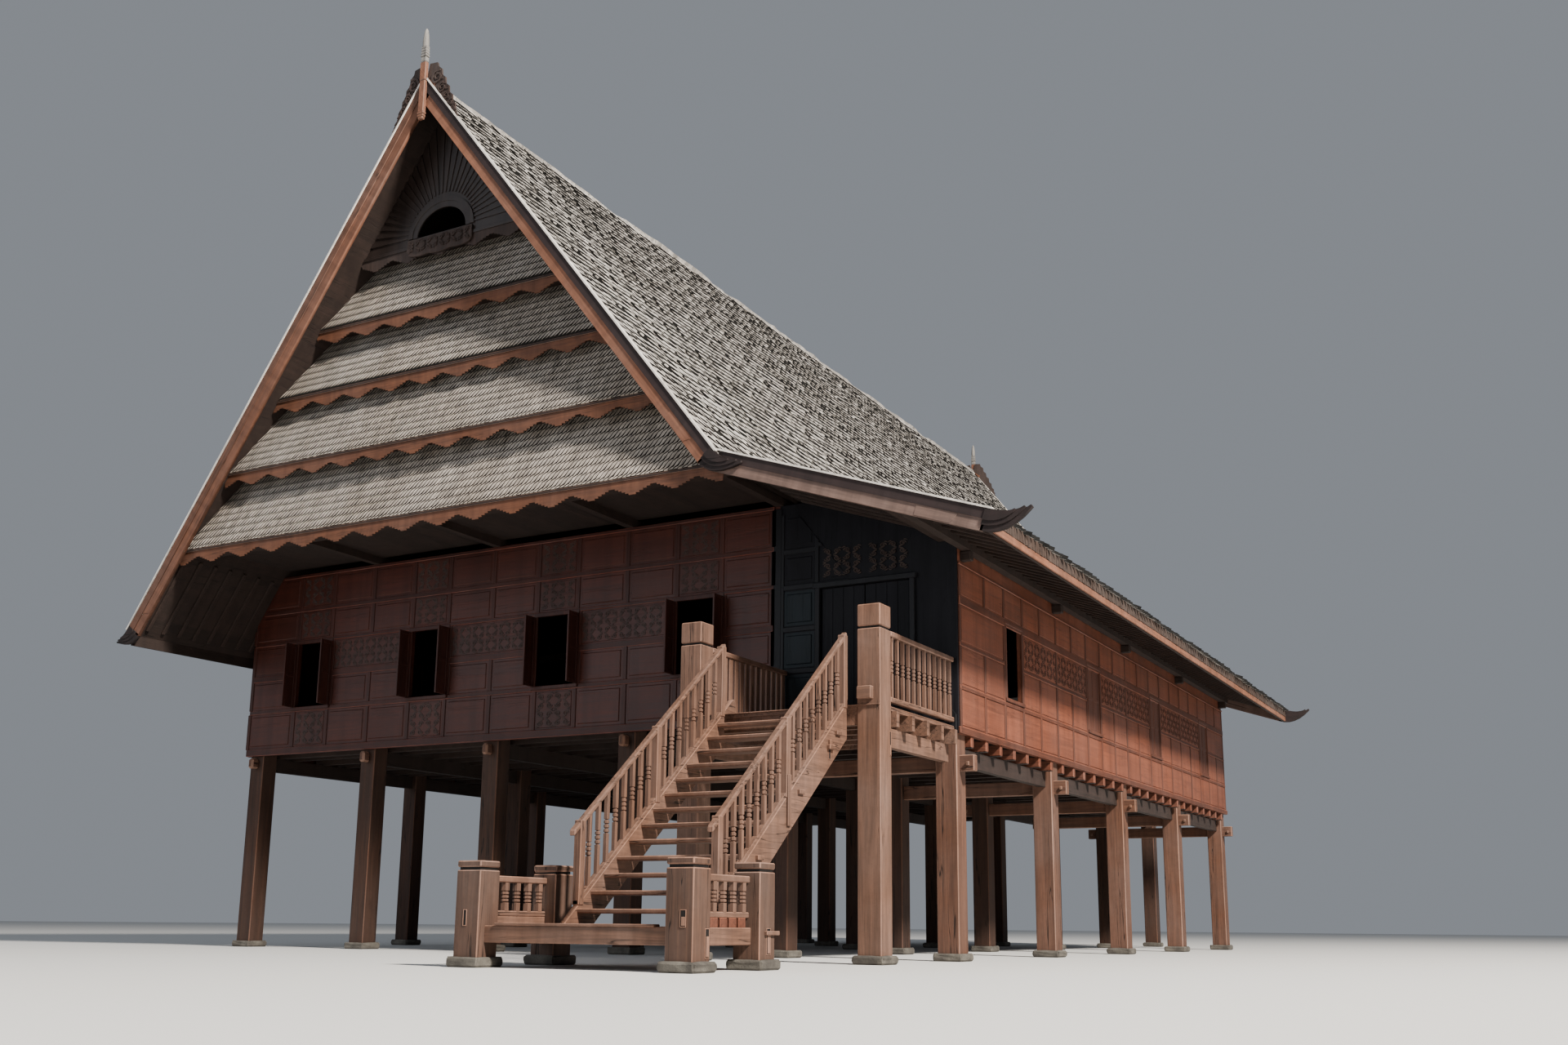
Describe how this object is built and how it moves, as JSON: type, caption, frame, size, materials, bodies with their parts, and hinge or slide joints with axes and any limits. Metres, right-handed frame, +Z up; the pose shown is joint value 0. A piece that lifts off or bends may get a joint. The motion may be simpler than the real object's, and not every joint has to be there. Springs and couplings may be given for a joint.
{
  "type": "stilt house",
  "caption": "Traditional timber house raised on posts, with a steep shingled gable roof, a lower side aisle, a railed porch and an open stair to a base platform",
  "frame": {"origin": "centre of the underside of the stone pad of the corner post where the aisle front meets the side wall, on the ground", "axes": "+X to the right along the front, +Y from the front to the back along the ridge, +Z up"},
  "size_m": [15.5387, 26.8972, 14.064],
  "materials": {
    "wood_post": "weathered brown squared timber with long cracks, grey stone pads below",
    "wood_floor": "dark unfinished planks and joists",
    "wood_wall_red": "red-brown stained panelled wood, satin, with carved bands",
    "wood_wall_dark": "dark brown stained panelled wood, satin",
    "wood_shingle": "weathered grey wooden shingles",
    "gable_shingle": "weathered beige-grey wooden shingles with slanted ends",
    "wood_bargeboard": "carved red-brown boards, weathered, dark carved ends",
    "wood_carved": "dark openwork and relief carving",
    "wood_weathered": "weathered tan-brown timber, matt"
  },
  "bodies": {
    "house": {"post_row_1": "wood_post", "post_row_2": "wood_post", "post_row_3": "wood_post", "post_row_4": "wood_post", "post_row_5": "wood_post", "post_row_6": "wood_post", "aisle_purlin": "wood_post", "hall_floor": "wood_floor", "aisle_floor": "wood_floor", "front_wall_lower": "wood_wall_red", "front_wall_upper": "wood_wall_red", "front_wall_pier_1": "wood_wall_red", "front_wall_pier_2": "wood_wall_red", "front_wall_pier_3": "wood_wall_red", "front_wall_pier_4": "wood_wall_red", "front_wall_pier_5": "wood_wall_red", "side_wall_front": "wood_wall_red", "side_wall_back": "wood_wall_red", "left_wall": "wood_wall_red", "back_wall": "wood_wall_red", "aisle_back_wall": "wood_wall_red", "hall_side_wall": "wood_wall_red", "entry_wall_left": "wood_wall_dark", "entry_wall_right": "wood_wall_dark", "entry_wall_over": "wood_wall_dark", "window_1": "wood_wall_dark", "window_2": "wood_wall_dark", "window_3": "wood_wall_dark", "window_4": "wood_wall_dark", "soffit_front": "wood_wall_dark", "soffit_back": "wood_wall_dark", "roof_left": "wood_shingle", "roof_right": "wood_shingle", "roof_aisle": "wood_shingle", "ridge_cap": "wood_shingle", "gable_front_tier_1": "gable_shingle", "gable_front_tier_2": "gable_shingle", "gable_front_tier_3": "gable_shingle", "gable_front_tier_4": "gable_shingle", "gable_back": "gable_shingle", "bargeboard_front_left": "wood_bargeboard", "bargeboard_front_right": "wood_bargeboard", "bargeboard_front_aisle": "wood_bargeboard", "bargeboard_back_left": "wood_bargeboard", "bargeboard_back_right": "wood_bargeboard", "bargeboard_back_aisle": "wood_bargeboard", "gable_front_sunburst": "wood_carved", "peak_front": "wood_carved", "peak_back": "wood_carved", "porch_side_left": "wood_weathered", "porch_side_right": "wood_weathered", "porch_floor": "wood_weathered", "stair_flight": "wood_weathered", "stair_rail_left": "wood_weathered", "stair_rail_right": "wood_weathered", "platform_frame": "wood_weathered", "platform_floor": "wood_weathered"},
    "door_left": {"door_leaf_left": "wood_wall_dark"},
    "door_right": {"door_leaf_right": "wood_wall_dark"}
  },
  "joints": [
    {"name": "door_left_hinge", "type": "hinge", "parent": "house", "child": "door_left", "pos_m": [-1.777, -0.1753, 3.9575], "axis": [0, 0, 1], "range_deg": [0, 90]},
    {"name": "door_right_hinge", "type": "hinge", "parent": "house", "child": "door_right", "pos_m": [-0.483, -0.1753, 3.9575], "axis": [0, 0, -1], "range_deg": [0, 90]}
  ]
}
